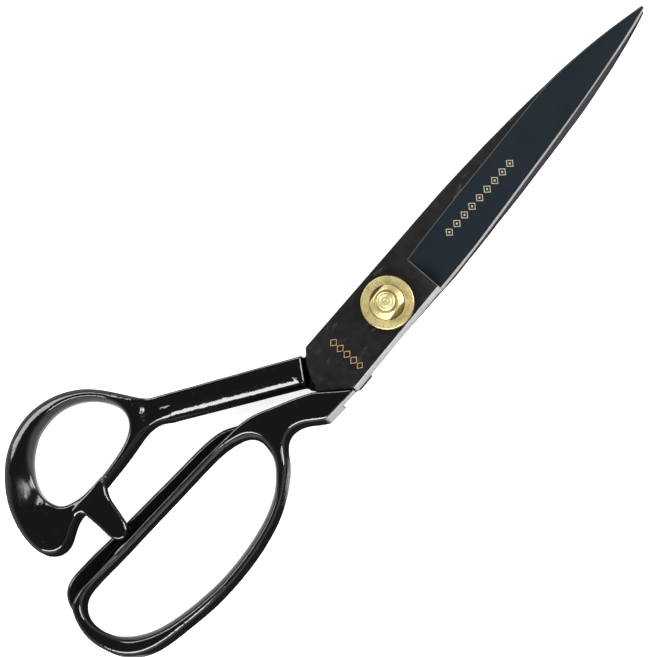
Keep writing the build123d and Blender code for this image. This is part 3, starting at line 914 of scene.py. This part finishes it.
# Gilt lozenges in a row across the -X part of the front plate: centre y, half height,
# half width
LOZENGE_X = -0.0194
LOZENGES = [
    (0.0046, 0.0013, 0.0015), (0.0019, 0.0013, 0.0015), (-0.0008, 0.0013, 0.0015),
    (-0.0035, 0.0013, 0.0015), (-0.0060, 0.0011, 0.0013)]


def oxide(name, plain=False):
    """Blackened steel; the plain one has no scratches, brown tint or lozenges, and its colours
    are painted several times lighter, standing in for light on the back blade's spine seen at a
    slant.
    """
    s = Principled(name)
    p = s.position()
    place = s.xyz(p)
    tone = s.noise(p, scale=140, detail=6, rough=0.62)
    if plain:
        # painted light: these colours are several times lighter than the front oxide, standing in
        # for light on the back blade's slanting spine
        colour = s.ramp(tone, (0.3, (0.0105, 0.0090, 0.0125)), (0.7, (0.0170, 0.0150, 0.0195)))
    else:
        colour = s.ramp(tone, (0.30, (0.0009, 0.0011, 0.0014)), (0.52, (0.0014, 0.0015, 0.0018)),
                        (0.72, (0.0032, 0.0029, 0.0028)))
        # rust-brown tint, growing from the pivot towards the tip
        brown = s.math("MULTIPLY", s.math("ADD", place[0], 0.0), 90.0, clamp=True)
        colour = s.mix(s.math("MULTIPLY", brown, 0.8), colour, (0.0024, 0.0017, 0.0019))
        streaks = s.patches(s.position((0.30, 1, 1), (0, 0, 0.6)), start=0.585, end=0.64,
                            scale=560, detail=2, rough=0.5, distortion=0.3)
        places = s.patches(p, start=0.50, end=0.60, scale=120, detail=3, rough=0.5)
        scratches = s.math("MULTIPLY", streaks, places)
        colour = s.mix(s.math("MULTIPLY", scratches, 0.6), colour, (0.022, 0.021, 0.018))
    rough = s.ramp(s.noise(p, scale=420, detail=5, rough=0.6), (0.3, 0.40), (0.7, 0.54))
    grain = s.noise(s.position((1, 9, 1)), scale=700, detail=3, rough=0.6)
    normal = s.bump(grain, strength=0.08, distance=0.00005)
    # thin brown ring round the pivot
    ring = s.line(s.radius(place[0], place[1]), at=0.0091, slope=9000.0)
    colour = s.mix(s.math("MULTIPLY", ring, 0.45), colour, (0.018, 0.012, 0.010))
    if not plain:
        on_top = s.rise(place[2], start=0.0108, slope=1e5)
        for centre_y, half_y, half_x in LOZENGES:
            shape = s.lozenge(s.math("SUBTRACT", place[0], LOZENGE_X),
                              s.math("SUBTRACT", place[1], centre_y), half_x, half_y)
            gilt = s.math("MULTIPLY", s.drawn_line(shape, at=0.86, slope=8.5), on_top)
            colour = s.mix(gilt, colour, (0.20, 0.125, 0.055))
    return s.finish(Base_Color=colour, Roughness=rough, Normal=normal, Specular_IOR_Level=0.17)


def bevel_satin():
    """Satin black bevel with a short cream row of lozenges and dots."""
    s = Principled("bevel_satin")
    p = s.position()
    grain = s.noise(s.position((14, 1.2, 1.2)), scale=500, detail=3, rough=0.6)
    colour = s.ramp(s.noise(p, scale=60, detail=4, rough=0.55),
                    (0.3, (0.0022, 0.0040, 0.0060)), (0.7, (0.0030, 0.0051, 0.0074)))
    rough = s.ramp(grain, (0.3, 0.34), (0.7, 0.42))
    normal = s.bump(grain, strength=0.05, distance=0.00004)
    start_x, middle_y, pitch = 0.0262, 0.0003, 0.0034
    place = s.xyz(p)
    along = s.math("SUBTRACT", place[0], start_x)
    across = s.math("SUBTRACT", place[1], middle_y)
    # the row begins at start_x and is this long
    inside = s.math("MULTIPLY", s.math("MULTIPLY", along, 8000.0, clamp=True),
                    s.fall(along, end=0.0306, slope=8000.0))
    cell = s.math("SUBTRACT", s.math("MODULO", along, pitch), pitch / 2)
    shape = s.lozenge(cell, across, half_x=0.00145, half_y=0.00150)
    dot = s.math("LESS_THAN", shape, 0.26)
    mark = s.math("MAXIMUM", s.drawn_line(shape, at=0.84, slope=8.0), dot)
    mark = s.math("MULTIPLY", mark, inside)
    colour = s.mix(mark, colour, (0.175, 0.155, 0.110))
    rough = s.mix(mark, rough, (0.55, 0.55, 0.55))
    return s.finish(Base_Color=colour, Roughness=rough, Normal=normal, Specular_IOR_Level=0.115)


def steel(name, colour, rough, grain, strength, metallic):
    """Grained steel; rough is the range of roughness, grain the stretch of the noise."""
    s = Principled(name)
    lines = s.noise(s.position(grain), scale=420, detail=3, rough=0.65)
    darker = tuple(v * 0.86 for v in colour)
    tone = s.noise(s.position(), scale=180, detail=5, rough=0.6)
    return s.finish(Base_Color=s.ramp(tone, (0.3, darker), (0.7, colour)), Metallic=metallic,
                    Roughness=s.ramp(lines, (0.3, rough[0]), (0.7, rough[1])),
                    Normal=s.bump(lines, strength=strength, distance=0.00004))


def brass(name, turning, rough, metallic):
    """Turned brass; turning is the strength of the lathe lines."""
    s = Principled(name)
    p = s.position()
    place = s.xyz(p)
    radius = s.radius(place[0], place[1])
    rings = s.node("CombineXYZ", {0: radius, 1: place[2]}).outputs[0]
    lines = s.noise(rings, scale=5200, detail=3, rough=0.6)
    tarnish = s.noise(p, scale=300, detail=8, rough=0.72)
    colour = s.ramp(tarnish, (0.32, (0.36, 0.29, 0.110)), (0.48, (0.49, 0.415, 0.185)),
                    (0.68, (0.62, 0.545, 0.295)))
    specks = s.patches(p, start=0.58, end=0.70, scale=1500, detail=4, rough=0.65)
    colour = s.mix(s.math("MULTIPLY", specks, 0.14), colour, (0.20, 0.15, 0.05))
    # painted shade in the thread gap and in the disc's recess, and round its rim to tone down the
    # rim's highlight
    gap = s.line(radius, at=0.00296, slope=7000.0)
    recess = s.math("MULTIPLY", s.fall(place[2], end=0.0125, slope=4000.0),
                    s.fall(radius, end=0.00545, slope=9000.0))
    painted_shade = s.math("MAXIMUM", s.math("MULTIPLY", gap, 0.85), s.math("MULTIPLY", recess, 0.93))
    rim = s.rise(radius, start=0.00758, slope=5000.0)
    painted_shade = s.math("MAXIMUM", painted_shade, s.math("MULTIPLY", rim, 0.55))
    colour = s.mix(painted_shade, colour, (0.165, 0.120, 0.044))
    mottle = s.noise(p, scale=420, detail=4, rough=0.6)
    normal = s.bump(lines, strength=turning, distance=0.00004)
    normal = s.bump(s.noise(p, scale=700, detail=3, rough=0.6), strength=0.07,
                    distance=0.00004, normal=normal)
    return s.finish(Base_Color=colour, Metallic=metallic,
                    Roughness=s.ramp(mottle, (0.3, rough[0]), (0.7, rough[1])),
                    Normal=normal, Specular_IOR_Level=0.5)


enamel_black = enamel("black_enamel")
enamel_neck = enamel("black_enamel_neck", bare_neck=True)
oxide_front = oxide("black_oxide")
oxide_back_painted_lighter = oxide("black_oxide_back", plain=True)
# in the order of the layers BEVEL, GROUND, STRIP, INNER, LINE
blade_materials = [
    bevel_satin(),
    steel("ground_edge", colour=(0.135, 0.132, 0.118), rough=(0.45, 0.55), grain=(1, 30, 1),
          strength=0.2, metallic=0.15),
    steel("bare_side", colour=(0.155, 0.158, 0.160), rough=(0.5, 0.6), grain=(1, 1, 14),
          strength=0.2, metallic=0.0),
    steel("inner_face", colour=(0.030, 0.027, 0.035), rough=(0.36, 0.46), grain=(1.0, 12, 1),
          strength=0.12, metallic=0.35),
    # painted highlight: light grey for the crease and the plate step, standing in for light along
    # these edges
    steel("painted_edge_highlight", colour=(0.034, 0.036, 0.038), rough=(0.30, 0.40), grain=(1, 1, 1),
          strength=0.1, metallic=0.0),
]
brass_turned = brass("turned_brass", turning=0.25, rough=(0.22, 0.36), metallic=0.68)
brass_nut = brass("turned_brass_nut", turning=0.03, rough=(0.29, 0.33), metallic=0.80)

finger_ring.data.materials.append(enamel_neck)
thumb_ring.data.materials.append(enamel_black)
for obj, outer in ((blade_front, oxide_front), (blade_back, oxide_back_painted_lighter)):
    for k, material in enumerate([outer] + blade_materials):
        obj.data.materials[k] = material
for obj, material in ((disc, brass_turned), (nut, brass_nut), (bolt, brass_turned)):
    obj.data.materials.clear()
    obj.data.materials.append(material)
for layer in LAYERS:
    bpy.data.materials.remove(layer)
for name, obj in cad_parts.items():
    if name.endswith("bow"):
        material = enamel_black
    elif name.endswith("blade"):
        material = oxide_front
    else:
        material = brass_turned
    for slot in obj.material_slots:
        slot.material = material


# ------------------------------------------------------------------ camera
def add_camera():
    """Long lens looking down, tilted a little towards -Y and rolled."""
    tilt = math.radians(12.0)
    roll = math.radians(49.03)
    width_seen = 0.1930
    back = Vector((0, -math.sin(tilt), math.cos(tilt)))
    level_right = Vector((1, 0, 0))
    level_up = Vector((0, math.cos(tilt), math.sin(tilt)))
    right = math.cos(roll) * level_right - math.sin(roll) * level_up
    up = math.sin(roll) * level_right + math.cos(roll) * level_up
    aim = Vector((-17.8, 0, 12.1)) * MM + level_up * (8.8 * MM)
    data = bpy.data.cameras.new("camera")
    data.sensor_fit = "HORIZONTAL"
    data.sensor_width = 36.0
    data.lens = 400.0
    distance = width_seen * data.lens / data.sensor_width
    camera = add_object("camera", data)
    axes = Matrix((right, up, back)).transposed().to_4x4()
    camera.matrix_world = Matrix.Translation(aim + back * distance) @ axes
    bpy.context.scene.camera = camera


add_camera()


# ------------------------------------------------------------------ world and lights
def build_world():
    """Bright below and dark above for the lighting, plain white for the camera."""
    world = bpy.data.worlds.new("world")
    bpy.context.scene.world = world
    world.use_nodes = True
    s = Shader(world.node_tree)
    direction = s.xyz(s.node("TexCoord").outputs["Generated"])
    sky = s.ramp(direction[2], (0.0, 0.80), (0.30, 0.80), (0.52, 0.30), (0.72, 0.05), (1.0, 0.03))
    seen = s.node("LightPath").outputs["Is Camera Ray"]
    background = world.node_tree.nodes["Background"]
    s.put(background, 0, s.mix(seen, sky, (1.0, 1.0, 1.0)))
    s.put(background, 1, 1.0)


def area(name, location, target, size, power):
    light = bpy.data.lights.new(name, "AREA")
    light.shape = "RECTANGLE"
    light.size, light.size_y = size
    light.energy = power
    direction = Vector(target) - Vector(location)
    turn = direction.to_track_quat("-Z", "Y").to_matrix().to_4x4()
    add_object(name, light).matrix_world = Matrix.Translation(location) @ turn


build_world()
area("soft_near", location=(-0.62, -0.48, 0.40), target=(-0.05, 0, 0), size=(1.15, 0.42),
     power=34.0)
area("soft_right", location=(0.78, -0.34, 0.33), target=(0.0, 0, 0), size=(0.55, 0.40),
     power=18.0)
area("soft_far", location=(0.08, 0.80, 0.42), target=(-0.03, 0, 0), size=(1.1, 0.44),
     power=17.0)
area("soft_high", location=(0.48, -0.18, 0.74), target=(-0.06, 0, 0), size=(0.22, 0.18),
     power=3.2)

# ------------------------------------------------------------------ floor
# Paper inside the two rings that is painted bright in reflections only (painted reflection):
# centre x, y and half sizes
RING_PAPER = ((-0.0929, -0.0065, 0.0372, 0.0102), (-0.0934, 0.0434, 0.0176, 0.0122))


def paper_material():
    """Paper that glows evenly to the camera. In reflections it shows painted light instead:
    painted shade where it is met steeply, and a painted reflection of lit paper inside the rings.
    """
    material = bpy.data.materials.new("floor")
    material.use_nodes = True
    material.node_tree.nodes.clear()
    s = Shader(material.node_tree)
    path = s.node("LightPath").outputs
    geometry = s.node("NewGeometry").outputs
    paper = s.node("BsdfDiffuse", {"Color": (0.36, 0.36, 0.36, 1)}).outputs[0]
    glow = s.node("Emission", {"Strength": 0.86}).outputs[0]
    glowing = s.node("AddShader", {0: paper, 1: glow}).outputs[0]
    seen = s.node("MixShader", {0: path["Is Camera Ray"], 1: paper, 2: glowing}).outputs[0]
    # painted shade: reflections of the floor darken where it is met steeply, standing in for the
    # object's own shadow close by
    steepness = s.node("MapRange", {
        "From Min": 0.45, "From Max": 0.82, "To Min": 0.85, "To Max": 0.02,
        "Value": s.xyz(geometry["Incoming"])[2]}, interpolation_type="SMOOTHSTEP").outputs[0]
    # painted reflection: the paper inside the rings glows in reflections only, so their inner
    # walls show it bright
    place = s.xyz(geometry["Position"])
    lit = 0.0
    for centre_x, centre_y, half_x, half_y in RING_PAPER:
        parts = []
        for value, centre, half in ((place[0], centre_x, half_x), (place[1], centre_y, half_y)):
            offset = s.math("DIVIDE", s.math("SUBTRACT", value, centre), half)
            parts.append(s.math("POWER", s.math("ABSOLUTE", offset, 0.0), 2.6))
        lit = s.math("MAXIMUM", lit, s.fall(s.math("ADD", *parts), end=1.25, slope=4.0))
    brightness = s.math("MAXIMUM", steepness, s.math("MULTIPLY", lit, 0.80))
    mirrored = s.node("Emission", {"Strength": brightness}).outputs[0]
    result = s.node("MixShader", {0: path["Is Glossy Ray"], 1: seen, 2: mirrored}).outputs[0]
    s.node("OutputMaterial", {0: result})
    return material


def add_floor():
    mesh = bpy.data.meshes.new("floor")
    bm = bmesh.new()
    bmesh.ops.create_grid(bm, x_segments=8, y_segments=8, size=3.0)
    bm.to_mesh(mesh)
    bm.free()
    floor = add_object("floor", mesh)
    floor.location = (0, 0, -0.0001)
    mesh.materials.append(paper_material())


add_floor()

view = bpy.context.scene.view_settings
view.view_transform = "Standard"
view.look = "None"
view.exposure = 0.0
